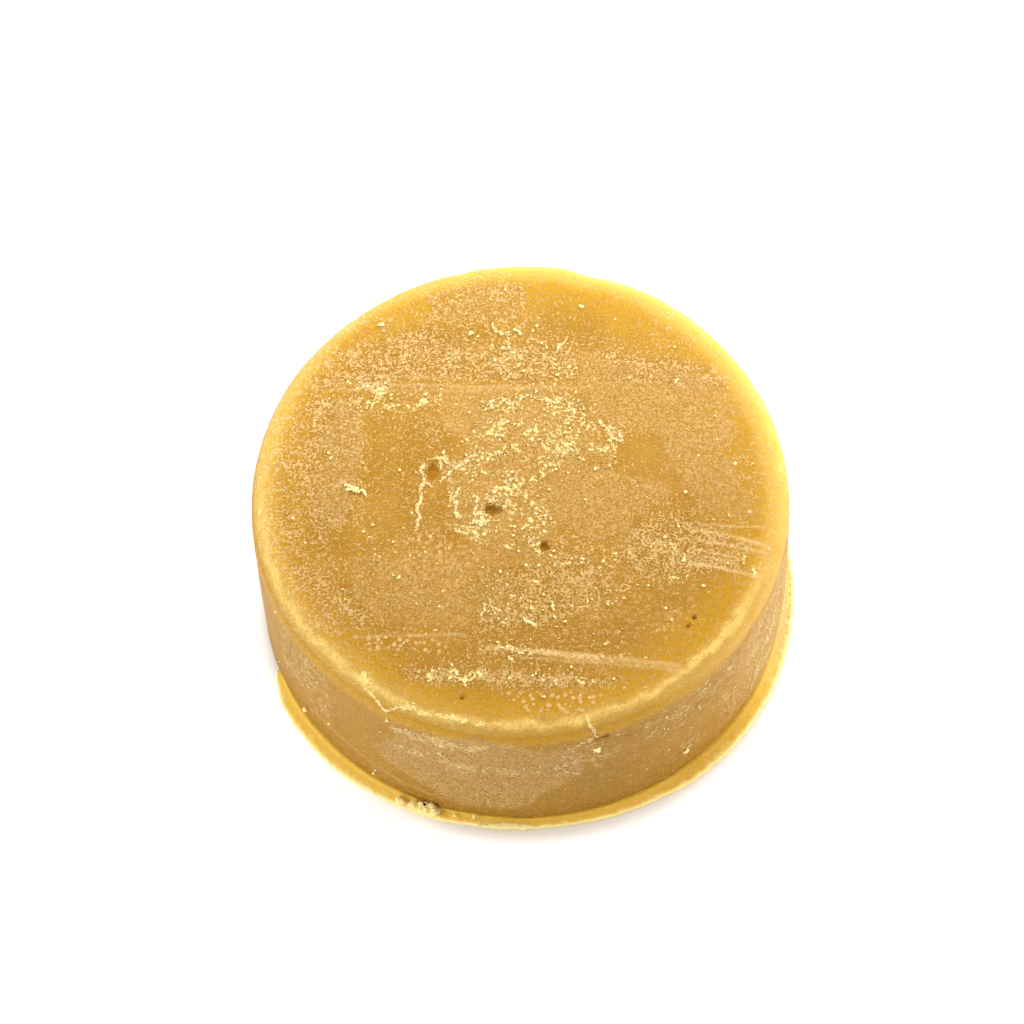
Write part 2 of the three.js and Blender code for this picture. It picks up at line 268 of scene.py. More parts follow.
# Cream lines on the wall: (angle, height) corners, then half width
WALL_LINES = (
    (((282.2, 26.4), (282.9, 24.6), (283.8, 23.2)), 0.26),
    (((278.0, 21.6), (281.0, 22.8), (283.8, 23.0)), 0.24),
    (((287.0, 22.6), (288.6, 22.0)), 0.22),
    (((276.6, 15.8), (277.6, 14.4), (279.6, 13.4)), 0.20),
    (((239.4, 15.8), (243.6, 17.0)), 0.22),
    (((250.0, 18.6), (252.4, 17.2)), 0.24),
    (((303.6, 6.4), (306.4, 6.8)), 0.22),
    (((234.2, 4.6), (233.8, 2.6)), 0.20),
)
# Faint curved rubbing line low on the wall
WALL_RUB = ((213.5, 5.2), (217.0, 6.6), (222.0, 7.3), (228.0, 6.6), (236.0, 5.4), (246.0, 4.6), (258.0, 4.2))
# Hollows in the side: angle, height, half sizes (along, up), depth
SIDE_PITS = (
    (285.0, 22.2, (1.15, 0.80), 0.75),
    (290.5, 20.4, (0.35, 0.30), 0.25),
    (288.0, 0.9, (0.30, 0.30), 0.30),
)
# Shallow dents and swellings of the rim: angle, half width in degrees, height, half height, depth
RIM_DENTS = (
    (71.0, 7.0, 26.0, 2.2, 0.38),
    (101.0, 4.0, 26.0, 2.0, 0.16),
    (237.0, 4.5, 26.6, 1.4, 0.22),
    (262.0, 9.0, 26.6, 1.5, -0.10),
    (303.0, 7.0, 26.4, 1.6, 0.16),
)

# ---------------------------------------------------------------- loose crumbs
# Name of the CAD node it covers, angle, radius and height of its centre, half sizes, turn, lumps in it, seed
CRUMBS = (
    ("lip_crumb_large", 247.4, 36.2, 1.62, (1.75, 0.95, 0.62), 0.0, 34, 11),
    ("lip_crumb_middle", 244.0, 36.3, 1.45, (0.80, 0.70, 0.44), 0.0, 14, 12),
    ("lip_crumb_left", 241.3, 36.4, 1.40, (0.80, 0.60, 0.40), 0.0, 14, 13),
    ("wall_flake", 283.6, 35.25, 19.6, (0.55, 0.24, 0.66), 0.0, 12, 14),
    ("top_flake", 177.6, 21.2, 27.16, (0.55, 1.90, 0.24), -22.0, 34, 15),
    ("top_crumb_back", 70.7, 28.4, 27.18, (0.52, 0.38, 0.24), -20.0, 7, 16),
    ("top_crumb_centre_back", 87.3, 23.2, 27.16, (0.32, 0.48, 0.22), 0.0, 6, 17),
    ("top_crumb_left_back", 102.9, 24.1, 27.18, (0.48, 0.42, 0.24), 30.0, 7, 18),
    ("top_crumb_far_left", 124.0, 30.7, 27.18, (0.55, 0.40, 0.22), -10.0, 8, 19),
    ("top_crumb_right_back", 34.8, 25.9, 27.16, (0.34, 0.66, 0.20), 20.0, 8, 20),
    ("top_crumb_right", 355.0, 21.5, 27.16, (0.36, 0.30, 0.20), 0.0, 6, 21),
)
# Dark speck of dirt on the largest crumb: angle, radius, height and radius of the speck
DIRT = (246.3, 35.95, 2.1, 0.24)
# Cell size in mm of the one skin that covers a crumb's lumps
CRUMB_VOXEL = 0.045
GRANULES = 420
WALL_GRANULES = 90

# ---------------------------------------------------------------- camera
CAMERA_ELEVATION = 63.2
CAMERA_DISTANCE = 490.5
CAMERA_ROLL = 3.1
CAMERA_AIM = (-1.1, 3.7, 13.5)
CAMERA_LENS = 126.8
SENSOR = 36.0

# ---------------------------------------------------------------- light
LIGHT_LEVEL = 1.66
# The pale floor glows softly, but the glow is cut off near the puck's foot, which paints a contact shadow
# there
PAINTED_SHADOW_CENTRE = (0.8, -1.7)
PAINTED_SHADOW_RADIUS = 34.7
GLOW_RADIUS = 37.7
FLOOR_GLOW = 0.50
FLOOR_REACH = 900.0
WORLD_TINT = (1.0, 0.985, 0.97, 1.0)
WORLD_STRENGTH = 0.58
WARM_WHITE = (1.0, 0.98, 0.95)
WHITE = (1.0, 1.0, 1.0)
# Softboxes: name, azimuth, elevation, distance and size in mm, power in watts, tint
LIGHTS = (
    ("key", 70, 50, 300, 190, 0.76, WARM_WHITE),
    ("right", 8, 14, 600, 300, 2.6, WARM_WHITE),
    ("left", 208, 32, 600, 300, 1.9, WARM_WHITE),
    ("overhead", 90, 70, 330, 220, 0.22, WHITE),
)


def colour(red, green, blue):
    """Surface colour that shows as these values on a level face under the studio light.

    255 is white; higher values are for bright soap that lies in the puck's own shade.
    """
    linear = []
    for value in (red, green, blue):
        share = value / 255.0
        shown = share / 12.92 if share <= 0.04045 else ((share + 0.055) / 1.055) ** 2.4
        linear.append(shown / LIGHT_LEVEL)
    return (*linear, 1.0)


# ================================================================ numbers on points

def smooth(low, high, value):
    """0 below low, 1 above high, with a soft change between."""
    share = np.clip((value - low) / (high - low), 0.0, 1.0)
    return share * share * (3.0 - 2.0 * share)


def gradient_noise(points, size, seed):
    """Repeatable soft noise, about -1 to 1, with lumps of this size in mm."""
    table_size = 32
    gradients = np.random.default_rng(seed).normal(size=(table_size, table_size, table_size, 3))
    gradients /= np.linalg.norm(gradients, axis=3, keepdims=True)
    scaled = points / size + 0.37 * seed
    cell = np.floor(scaled).astype(int)
    inside = scaled - cell
    weight = inside ** 3 * (inside * (inside * 6.0 - 15.0) + 10.0)
    total = np.zeros(len(points))
    for corner in np.ndindex(2, 2, 2):
        offset = np.array(corner)
        index = (cell + offset) % table_size
        gradient = gradients[index[:, 0], index[:, 1], index[:, 2]]
        share = np.prod(np.where(offset == 1, weight, 1.0 - weight), axis=1)
        total += share * np.einsum("ij,ij->i", gradient, inside - offset)
    return total * 1.7


def layered_noise(points, size, seed, layers=3):
    """Noise with finer and weaker layers on top."""
    total = np.zeros(len(points))
    strength = 1.0
    for layer in range(layers):
        total += strength * gradient_noise(points, size / 2.03 ** layer, seed + 17 * layer)
        strength *= 0.55
    return total


def line_distance(x, y, corners):
    """Distance to an open line through these corners."""
    nearest = np.full(len(x), 1e9)
    for (ax, ay), (bx, by) in zip(corners, corners[1:]):
        along = ((x - ax) * (bx - ax) + (y - ay) * (by - ay)) / ((bx - ax) ** 2 + (by - ay) ** 2)
        along = np.clip(along, 0.0, 1.0)
        nearest = np.minimum(nearest, np.hypot(x - ax - along * (bx - ax), y - ay - along * (by - ay)))
    return nearest


def inside_distance(x, y, corners):
    """Distance to a closed outline, positive inside."""
    closed = corners + corners[:1]
    inside = np.zeros(len(x), dtype=bool)
    for (ax, ay), (bx, by) in zip(closed, closed[1:]):
        if ay != by:
            crosses = (ay > y) != (by > y)
            inside ^= crosses & (x < (bx - ax) * (y - ay) / (by - ay) + ax)
    nearest = line_distance(x, y, closed)
    return np.where(inside, nearest, -nearest)


def patches(x, y, outlines, softness):
    """Strongest of several patches at each point."""
    result = np.zeros(len(x))
    for corners, strength in outlines:
        result = np.maximum(result, strength * smooth(-softness, softness, inside_distance(x, y, corners)))
    return result


def ragged_lines(x, y, lines, edge):
    """Strongest of several lines with ragged edges at each point."""
    result = np.zeros(len(x))
    for corners, half_width in lines:
        reach = line_distance(x, y, corners) / half_width + edge
        result = np.maximum(result, 1.0 - smooth(0.4, 1.25, reach))
    return result


def unrolled(corners):
    """Corners as (angle, height or path), with the angle turned into mm round the wall."""
    return tuple((angle * WALL_ARC, along) for angle, along in corners)


def pit_depth(x, y, half, depth, wobble):
    """Depth in mm of a steep-sided hollow around the origin, and where its inside shows."""
    reach = np.hypot(x / half[0], y / half[1]) * (1.0 + 0.30 * wobble)
    inside = (1.0 - smooth(0.78, 0.96, reach)) * min(1.0, depth / 0.5)
    return depth * (1.0 - smooth(0.60, 1.08, reach)), inside


def facing(angle, direction, low, high):
    """1 where the skin faces this direction, fading to 0 as it turns away."""
    return smooth(low, high, np.cos(np.radians(angle - direction)))


def around(angle, radius, height):
    """Point at this angle, distance from the axis and height."""
    return (radius * math.cos(math.radians(angle)), radius * math.sin(math.radians(angle)), height)


# ================================================================ the body's skin

def profile():
    """Radius, height, outward normal (radius, height) and path length of each row below the top's flat."""
    rows = []
    path = FLAT_RADIUS
    for i in range(1, RIM_ROWS + 1):
        turn = math.pi / 2 * i / RIM_ROWS
        path += RIM_RADIUS * math.pi / 2 / RIM_ROWS
        out, up = math.sin(turn), math.cos(turn)
        bulge = RIM_RADIUS * (out ** RIM_SQUARENESS + up ** RIM_SQUARENESS) ** (-1 / RIM_SQUARENESS)
        rows.append((FLAT_RADIUS + bulge * out, HEIGHT - RIM_RADIUS + bulge * up, out, up, path))
    wall_height = HEIGHT - RIM_RADIUS
    for i in range(1, WALL_ROWS + 1):
        height = wall_height * (1 - i / WALL_ROWS)
        path += wall_height / WALL_ROWS
        radius = BASE_RADIUS + (TOP_RADIUS - BASE_RADIUS) * height / wall_height
        rows.append((radius, height, 1.0, 0.0, path))
    return rows


def skin_grid():
    """Points, outward normals, path lengths and triangles of the closed body."""
    points = [(0.0, 0.0, HEIGHT)]
    normals = [(0.0, 0.0, 1.0)]
    paths = [0.0]
    triangles = []
    step = FLAT_RADIUS / SKIN_RINGS
    starts = [0]
    for ring in range(1, SKIN_RINGS + 1):
        starts.append(len(points))
        for i in range(6 * ring):
            turn = 2 * math.pi * i / (6 * ring)
            points.append((ring * step * math.cos(turn), ring * step * math.sin(turn), HEIGHT))
            normals.append((0.0, 0.0, 1.0))
            paths.append(ring * step)
        for side in range(6):
            for i in range(ring):
                outer = starts[ring] + side * ring + i
                outer_next = starts[ring] + (side * ring + i + 1) % (6 * ring)
                inner_count = max(1, 6 * (ring - 1))
                inner = starts[ring - 1] + (side * (ring - 1) + i) % inner_count
                triangles.append((inner, outer, outer_next))
                if i < ring - 1:
                    inner_next = starts[ring - 1] + (side * (ring - 1) + i + 1) % inner_count
                    triangles.append((inner, outer_next, inner_next))
    count = 6 * SKIN_RINGS
    previous = starts[-1]
    rows = profile() + [(radius, 0.0, 0.0, -1.0, 80.0) for radius in BASE_RINGS]
    for radius, height, out, up, path in rows:
        start = len(points)
        for i in range(count):
            turn = 2 * math.pi * i / count
            points.append((radius * math.cos(turn), radius * math.sin(turn), height))
            normals.append((out * math.cos(turn), out * math.sin(turn), up))
            paths.append(path)
        for i in range(count):
            j = (i + 1) % count
            triangles.append((previous + i, start + i, start + j))
            triangles.append((previous + i, start + j, previous + j))
        previous = start
    centre = len(points)
    points.append((0.0, 0.0, 0.0))
    normals.append((0.0, 0.0, -1.0))
    paths.append(120.0)
    for i in range(count):
        triangles.append((previous + i, centre, previous + (i + 1) % count))
    return np.array(points), np.array(normals), np.array(paths), triangles


def skin_places(points, paths):
    """Where each point of the skin lies, in every way that the marks are placed by."""
    at = SimpleNamespace(points=points, paths=paths, height=points[:, 2])
    angle = np.degrees(np.arctan2(points[:, 1], points[:, 0]))
    at.angle = np.where(angle < 60.0, angle + 360.0, angle)
    at.flat_x = paths * np.cos(np.radians(at.angle))
    at.flat_y = paths * np.sin(np.radians(at.angle))
    at.top = 1.0 - smooth(34.0, 36.5, paths)
    at.wall = smooth(34.0, 36.5, paths) * (1.0 - smooth(62.0, 70.0, paths))
    # Wavering places and edges, so that patches and lines get uneven outlines
    at.warp_x = 0.55 * layered_noise(points, 2.6, 3)
    at.warp_y = 0.55 * layered_noise(points, 2.6, 4)
    at.edge = 0.55 * layered_noise(points, 0.9, 41, 2)
    at.x = at.flat_x + at.warp_x
    at.y = at.flat_y + at.warp_y
    at.wall_angle = at.angle + at.warp_x * 0.8
    at.wall_z = at.height + at.warp_y * 0.5
    at.lit_side = facing(at.angle, 48.0, 0.15, 0.85)
    at.left_side = facing(at.angle, 195.0, 0.3, 0.95)
    at.front_side = facing(at.angle, 280.0, 0.3, 0.8)
    return at


def bloom_marks(at):
    """Strengths of the amber gaps, bare soap, flat film, worm-like bloom and round dots."""
    amber = patches(at.x, at.y, AMBER_GAPS, 0.3) * at.top
    bare = np.maximum(patches(at.x, at.y, BARE_PATCHES, 0.3) * at.top, amber)
    dots = patches(at.x, at.y, DOT_PATCHES, 0.5) * at.top

    film = patches(at.x, at.y, FILM_PATCHES, 0.35) * at.top * (1.0 - bare)
    # Less film on the lit side's rim, where the painted rim glow shows
    film = film * (1.0 - 0.7 * smooth(28.0, 31.5, at.paths) * at.lit_side)
    film = np.maximum(film, patches(at.wall_angle, at.wall_z, WALL_FILM, 0.12) * at.wall)

    worm = 0.42 * at.top + 0.08 * at.wall
    worm = np.maximum(worm, patches(at.x, at.y, WORM_PATCHES, 0.9) * at.top)
    worm = np.maximum(worm, patches(at.wall_angle, at.wall_z, WALL_WORMS, 0.6) * at.wall)
    worm = worm * (1.0 - 0.8 * bare) * (1.0 - 0.3 * film) * (1.0 - 0.6 * dots)
    worm = worm * (1.0 - 0.6 * smooth(28.5, 31.5, at.paths) * at.top * at.front_side)
    left_rim = facing(at.angle, 172.0, 0.3, 0.8) * smooth(27.0, 30.0, at.paths)
    worm = np.maximum(worm, 0.62 * left_rim * (1.0 - smooth(35.0, 37.0, at.paths)))
    on_rim = smooth(30.5, 32.5, at.paths) * (1.0 - smooth(36.0, 38.0, at.paths))
    # Few worms on the lit side's rim, under the painted rim glow
    worm = worm * (1.0 - 0.9 * on_rim * at.lit_side)
    return amber, bare, film, worm, dots


def clump_marks(at, bare):
    """Strength of the gathered pale grains."""
    clump = 0.08 * at.top + 0.05 * at.wall
    clump = np.maximum(clump, patches(at.x, at.y, CLUMP_PATCHES, 0.8) * at.top * (1.0 - 0.8 * bare))
    clump = np.maximum(clump, patches(at.wall_angle, at.wall_z, WALL_CLUMPS, 1.2) * at.wall)
    gathered = smooth(0.32, 0.62, layered_noise(at.points, 2.6, 33, 2) * 0.5 + 0.5)
    return clump * (0.45 + 0.85 * gathered)


def crust_marks(at, clump, lumps):
    """Strength of the raised cream crust: lumps where grains gather, and the cream lines."""
    crust = 0.7 * smooth(0.0, 0.22, lumps - (1.0 - 0.40 * clump))
    crust = np.maximum(crust, ragged_lines(at.x, at.y, CRUST_LINES, at.edge) * at.top)
    wall_lines = [(unrolled(corners), half_width) for corners, half_width in WALL_LINES]
    on_wall = ragged_lines(at.wall_angle * WALL_ARC, at.wall_z, wall_lines, at.edge)
    crust = np.maximum(crust, on_wall * smooth(31.0, 33.0, at.paths))
    rim_lines = [(unrolled(corners), half_width) for corners, half_width in RIM_LINES]
    return np.maximum(crust, 0.78 * ragged_lines(at.angle * WALL_ARC, at.paths, rim_lines, at.edge))


def frost_and_highlight_marks(at):
    """Strength of the soft pale stipple that follows the rim on the left and the front: partly real bloom,
    partly a painted highlight along the rim's edge.
    """
    frost_and_highlight = 1.0 - smooth(0.3, 1.2, np.abs(at.paths - 33.6 - 0.8 * at.warp_x) / (0.66 + 0.30 * at.edge))
    frost_and_highlight *= smooth(160.0, 195.0, at.angle) * (1.0 - smooth(318.0, 345.0, at.angle))
    return frost_and_highlight * (0.74 + 0.6 * at.warp_y)


def streak_marks(at):
    """Strength of the rubbed streaks."""
    streak = np.zeros(len(at.paths))
    for start, end, half_width, strength in STREAKS:
        reach = line_distance(at.flat_x + 0.15 * at.warp_x, at.flat_y + 0.15 * at.warp_y, (start, end))
        streak = np.maximum(streak, strength * (1.0 - smooth(0.5, 1.3, reach / half_width)) * at.top)
    reach = line_distance(at.angle * WALL_ARC, at.height, unrolled(WALL_RUB)) / 0.35
    return np.maximum(streak, 0.4 * (1.0 - smooth(0.4, 1.4, reach)) * at.wall)


def hollow_marks(at):
    """Depth in mm of the pits and dents, and where the inside of a pit shows."""
    sunk = np.zeros(len(at.paths))
    hole = np.zeros(len(at.paths))
    wobble = layered_noise(at.points, 0.9, 61, 2)
    for (x, y), half, depth, turn in TOP_PITS:
        c, s = math.cos(math.radians(turn)), math.sin(math.radians(turn))
        dx, dy = at.flat_x - x, at.flat_y - y
        low, dark = pit_depth(c * dx + s * dy, c * dy - s * dx, half, depth, wobble)
        sunk += low * at.top
        hole = np.maximum(hole, dark * at.top)
    beside_top = smooth(30.0, 31.5, at.paths)
    for angle, height, half, depth in SIDE_PITS:
        low, dark = pit_depth((at.angle - angle) * WALL_ARC, at.height - height, half, depth, wobble)
        sunk += low * beside_top
        hole = np.maximum(hole, dark * beside_top)
    for angle, half_width, height, half_height, depth in RIM_DENTS:
        reach = np.hypot((at.angle - angle) / half_width, (at.height - height) / half_height)
        sunk += depth * (1.0 - smooth(0.2, 1.0, reach)) * smooth(30.5, 32.5, at.paths)
    return sunk, hole


def tone_and_painted_light_marks(at, amber):
    """Strengths of the golden band near the rim, partly painted glow, of the painted glow on the rim, and of
    the painted shade down the wall.
    """
    wander = gradient_noise(at.points, 6.0, 8)
    mottle = layered_noise(at.points, 1.8, 91, 3)
    # Golden band near the rim: partly the soap's own amber, partly painted glow of light through the edge,
    # wider on the lit side
    gold_and_rim_glow = smooth(25.5 - 2.0 * at.lit_side + wander, 32.5 + wander, at.paths)
    gold_and_rim_glow = np.maximum(gold_and_rim_glow * (1.0 - smooth(35.5, 38.0, at.paths)), 0.9 * amber)
    # Painted glow on the rim, standing in for light through the translucent edge: wider on the lit side and
    # the left, brightest on the lit side
    glow_start = 30.6 - 1.0 * at.lit_side - 1.2 * at.left_side + 0.7 * mottle
    glow_end = 35.6 + 4.0 * np.maximum(at.lit_side, 0.7 * smooth(290.0, 325.0, at.angle))
    painted_rim_glow = smooth(glow_start, 34.6, at.paths) * (1.0 - smooth(34.2, glow_end, at.paths))
    painted_rim_glow *= 0.61 + 0.34 * at.lit_side + 0.07 * at.front_side + 0.14 * mottle
    # Painted shade: darker down the wall and in the crease at its foot, less on the lit right
    painted_wall_shade = 0.6 * smooth(36.5, 39.5, at.paths) * (1.0 - 0.7 * smooth(306.0, 332.0, at.angle))
    painted_wall_shade += 0.4 * smooth(55.0, 60.0, at.paths)
    return gold_and_rim_glow, painted_rim_glow, painted_wall_shade


def skin_marks(points, paths):
    """Height of the fine relief in mm and the strength of each mark, for points on the body's skin."""
    at = skin_places(points, paths)
    amber, bare, film, worm, dots = bloom_marks(at)
    clump = clump_marks(at, bare)
    lumps = layered_noise(points, 1.5, 21, 3) * 0.5 + 0.5
    crust = crust_marks(at, clump, lumps)
    streak = streak_marks(at)
    sunk, hole = hollow_marks(at)

    relief = 0.10 * gradient_noise(points, 11.0, 5) + 0.045 * gradient_noise(points, 3.4, 6)
    relief += 0.05 * film + 0.02 * worm
    relief += crust * (0.07 + 0.08 * lumps) + 0.03 * streak
    relief += 0.03 * layered_noise(points, 0.9, 51, 2) * (0.25 + clump)
    relief = (relief - sunk) * (1.0 - smooth(61.0, 62.5, paths))

    crust = crust * (1.0 - smooth(0.1, 0.5, hole))
    # Painted shade: the front of the top lies away from the light and is painted darker
    away = (1.0 - smooth(-30.0, 28.0, at.flat_y - 0.1 * at.flat_x)) * at.top
    return relief, {
        "bloom": (film, worm, crust),
        "marks": (streak, hole, clump),
        "tones_and_painted_light": tone_and_painted_light_marks(at, amber),
        "spots_and_front_shade": (dots, away, at.wall),
        "frost_and_highlight": (frost_and_highlight_marks(at),) * 3,
    }


# ================================================================ meshes

def make_mesh(name, points, triangles):
    """A smooth-shaded mesh object from points in mm."""
    mesh = bpy.data.meshes.new(name)
    mesh.from_pydata((np.asarray(points) * MM).tolist(), [], triangles)
    mesh.shade_smooth()
    mesh.update()
    piece = bpy.data.objects.new(name, mesh)
    bpy.context.scene.collection.objects.link(piece)
    return piece


def give_marks(piece, name, values):
    """Stores three numbers per point for the material to read."""
    attribute = piece.data.attributes.new(name, "FLOAT_VECTOR", "POINT")
    attribute.data.foreach_set("vector", np.stack(values, axis=1).astype(np.float32).ravel())


def level_outward(points):
    """Level direction away from the puck's axis at each point."""
    return points * np.array([1.0, 1.0, 0.0]) / np.hypot(points[:, 0], points[:, 1])[:, None]


def body_skin():
    """The puck's whole closed surface."""
    points, normals, paths, triangles = skin_grid()
    relief, marks = skin_marks(points, paths)
    piece = make_mesh("soap_skin", points + normals * relief[:, None], triangles)
    for name, values in marks.items():
        give_marks(piece, name, values)
    return piece


def lip_radius(angle):
    """Outer radius of the lip, drawn in towards the wall at both ends."""
    wave = LIP_WAVE * math.cos(math.radians((angle - LIP_WAVE_PEAK) * LIP_WAVE_RATE))
    from_end = max(0.0, min(angle - LIP_START, LIP_END - angle))
    taper = math.sin(math.pi / 2 * min(1.0, 0.12 + from_end / LIP_TAPER))
    return BASE_RADIUS + (LIP_RADIUS + wave - BASE_RADIUS) * taper


def close_sweep(count, steps):
    """Triangles of a swept closed section with both ends capped."""
    triangles = []
    for i in range(steps):
        for j in range(count):
            a = i * count + j
            b = i * count + (j + 1) % count
            triangles.append((a, a + count, b))
            triangles.append((b, a + count, b + count))
    last = steps * count
    for j in range(1, count - 1):
        triangles.append((0, j, j + 1))
        triangles.append((last, last + j + 1, last + j))
    return triangles


def base_lip():
    """Thin uneven edge of soap round the foot."""
    points = []
    thin = []
    flares = []
    angles = [LIP_START + (LIP_END - LIP_START) * i / LIP_STEPS for i in range(LIP_STEPS + 1)]
    for i, angle in enumerate(angles):
        reach = lip_radius(angle) - LIP_INNER
        ending = min(1.0, 0.3 + (i / LIP_STEPS) * 60.0, 0.3 + (1 - i / LIP_STEPS) * 60.0)
        flare = float(smooth(*FLARE_STARTS, angle) * (1.0 - smooth(*FLARE_STOPS, angle)))
        for share, height in LIP_SECTION:
            risen = height * ending * (1.0 + LIP_FLARE * flare * (1.0 - share) ** 2)
            points.append(around(angle, LIP_INNER + share * reach, risen))
            thin.append(share)
            flares.append(flare)
    points = np.array(points)
    thin = np.array(thin)
    ragged = 0.10 * layered_noise(points, 1.6, 71, 3) + 0.09 * gradient_noise(points, 6.0, 72)
    raised = smooth(0.0, 0.3, points[:, 2])
    points = points + level_outward(points) * (ragged * smooth(0.5, 1.0, thin))[:, None]
    points[:, 2] += 0.05 * layered_noise(points, 1.1, 73, 3) * raised
    piece = make_mesh("lip_skin", points, close_sweep(len(LIP_SECTION), LIP_STEPS))
    crust = smooth(0.50, 0.80, layered_noise(points, 0.8, 74, 3) * 0.5 + 0.5) * smooth(0.4, 0.8, thin)
    front = smooth(238.0, 275.0, np.array(angles)) * (1.0 - smooth(306.0, 334.0, np.array(angles)))
    give_marks(piece, "bloom", (thin, np.repeat(1.0 - front, len(LIP_SECTION)), crust))
    give_marks(piece, "flare", (flares,) * 3)
    return piece


def lip_peel():
    """Ragged pale flake lying along the lip's front edge."""
    steps = 160
    section = ((1.0, 0.0), (1.12, 0.5), (0.9, 1.0), (0.5, 1.15), (0.05, 0.9), (0.0, 0.0))
    points = []
    for i in range(steps + 1):
        along = i / steps
        angle = PEEL_START + (PEEL_END - PEEL_START) * along
        width = 0.95 * (0.3 + 0.7 * math.sin(math.pi * along))
        outer = lip_radius(angle) + 0.12
        for share, rise in section:
            height = 0.52 + 0.42 * rise * (0.4 + 0.6 * math.sin(math.pi * along))
            points.append(around(angle, outer - width * (1.0 - share), height))
    points = np.array(points)
    points = points + level_outward(points) * (0.14 * layered_noise(points, 0.9, 81, 3))[:, None]
    points[:, 2] += 0.10 * layered_noise(points, 1.0, 82, 3)
    return make_mesh("peel_skin", points, close_sweep(len(section), steps))


def sphere_points(level):
    """Points and triangles of a ball with radius 1: an icosahedron, made finer this many times."""
    golden = (1 + 5 ** 0.5) / 2
    corners = [
        (-1, golden, 0), (1, golden, 0), (-1, -golden, 0), (1, -golden, 0),
        (0, -1, golden), (0, 1, golden), (0, -1, -golden), (0, 1, -golden),
        (golden, 0, -1), (golden, 0, 1), (-golden, 0, -1), (-golden, 0, 1),
    ]
    faces = [
        (0, 11, 5), (0, 5, 1), (0, 1, 7), (0, 7, 10), (0, 10, 11),
        (1, 5, 9), (5, 11, 4), (11, 10, 2), (10, 7, 6), (7, 1, 8),
        (3, 9, 4), (3, 4, 2), (3, 2, 6), (3, 6, 8), (3, 8, 9),
        (4, 9, 5), (2, 4, 11), (6, 2, 10), (8, 6, 7), (9, 8, 1),
    ]
    points = [Vector(corner).normalized() for corner in corners]
    for _ in range(level):
        middles = {}
        finer = []
        for a, b, c in faces:
            mids = []
            for start, end in ((a, b), (b, c), (c, a)):
                key = (min(start, end), max(start, end))
                if key not in middles:
                    middles[key] = len(points)
                    points.append(((points[start] + points[end]) / 2).normalized())
                mids.append(middles[key])
            ab, bc, ca = mids
            finer += [(a, ab, ca), (b, bc, ab), (c, ca, bc), (ab, bc, ca)]
        faces = finer
    return np.array([tuple(point) for point in points]), faces


def crumb_cluster(name, angle, radius, height, half, turn, count, seed):
    """A crumbly heap of small lumps; its x half size runs along the tangent at this angle."""
    random = np.random.default_rng(seed)
    ball, faces = sphere_points(3)
    faces = np.array(faces)
    lump = min(half) * 0.85
    points = []
    triangles = []
    for number in range(count):
        place = random.uniform(-1.0, 1.0, 3)
        place *= random.random() ** 0.4 / np.linalg.norm(place)
        size = lump * random.uniform(0.55, 1.15, 3)
        rough = 1.0 + 0.30 * layered_noise(ball * 1.5 + 9.0 * number, 1.0, seed, 3)
        points.append(ball * rough[:, None] * size + place * (np.array(half) - lump * 0.6))
        triangles.append(faces + number * len(ball))
    shape = np.concatenate(points)
    spin = math.radians(angle - 90.0 + turn)
    turned = np.stack([
        shape[:, 0] * math.cos(spin) - shape[:, 1] * math.sin(spin),
        shape[:, 0] * math.sin(spin) + shape[:, 1] * math.cos(spin),
        shape[:, 2],
    ], axis=1)
    centre = np.array(around(angle, radius, height))
    return make_mesh(name, *one_skin(turned, np.concatenate(triangles).tolist(), centre))


def one_skin(points, triangles, centre):
    """Points and triangles of the outer surface of overlapping lumps, moved to this centre."""
    mesh = bpy.data.meshes.new("lumps")
    mesh.from_pydata(points.tolist(), [], triangles)
    piece = bpy.data.objects.new("lumps", mesh)
    bpy.context.scene.collection.objects.link(piece)
    remesh = piece.modifiers.new("skin", "REMESH")
    remesh.mode = "VOXEL"
    remesh.voxel_size = CRUMB_VOXEL
    skinned = piece.evaluated_get(bpy.context.evaluated_depsgraph_get()).to_mesh()
    skinned.calc_loop_triangles()
    shape = np.array([tuple(vertex.co) for vertex in skinned.vertices]) + centre
    faces = [tuple(triangle.vertices) for triangle in skinned.loop_triangles]
    bpy.data.objects.remove(piece)
    bpy.data.meshes.remove(mesh)
    return shape, faces


def dirt_marks(piece):
    """Strength of the dark speck at each point of a crumb."""
    points = np.empty(len(piece.data.vertices) * 3, dtype=np.float32)
    piece.data.vertices.foreach_get("co", points)
    *place, size = DIRT
    reach = np.linalg.norm(points.reshape(-1, 3) / MM - np.array(around(*place)), axis=1) / size
    return (1.0 - smooth(0.7, 1.2, reach),) * 3


